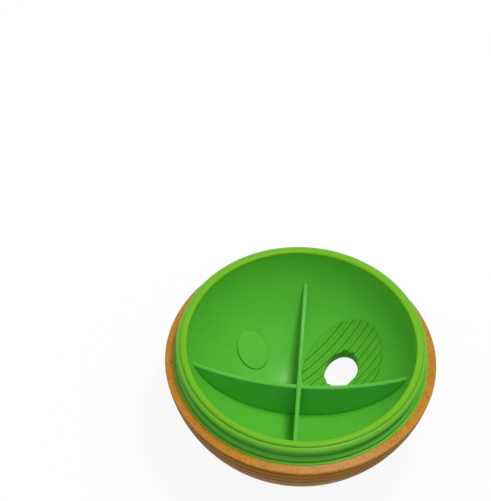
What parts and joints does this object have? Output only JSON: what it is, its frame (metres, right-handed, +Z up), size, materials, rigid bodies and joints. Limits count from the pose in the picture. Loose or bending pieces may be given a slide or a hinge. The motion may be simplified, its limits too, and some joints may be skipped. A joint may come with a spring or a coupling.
{
  "type": "treat ball",
  "caption": "Snap-together treat ball, opened for filling: a wood-fibre shell holds a green cup with crossed dividers and a ribbed outlet, and the domed half is set down beside it.",
  "frame": {"origin": "middle of the flat foot under the filled half, on the surface it stands on", "axes": "+Z up along the ball's axis, -Y towards the viewer of the picture, +X towards the half that is set down"},
  "size_m": [0.3806, 0.1618, 0.0926],
  "materials": {
    "wood_fibre": "moulded wood-fibre composite, satin, with fine dark specks",
    "green_plastic": "moulded, satin"
  },
  "bodies": {
    "lower_half": {"lower_shell": "wood_fibre", "inner_cup": "green_plastic", "outlet_insert": "green_plastic", "divider_long": "green_plastic", "divider_cross": "green_plastic"},
    "upper_half": {"upper_shell": "wood_fibre", "upper_liner": "green_plastic"}
  },
  "joints": [
    {"name": "upper_lift", "type": "slide", "parent": "lower_half", "child": "upper_half", "axis": [0, 0, 1], "range_m": [0, 0.1]}
  ]
}
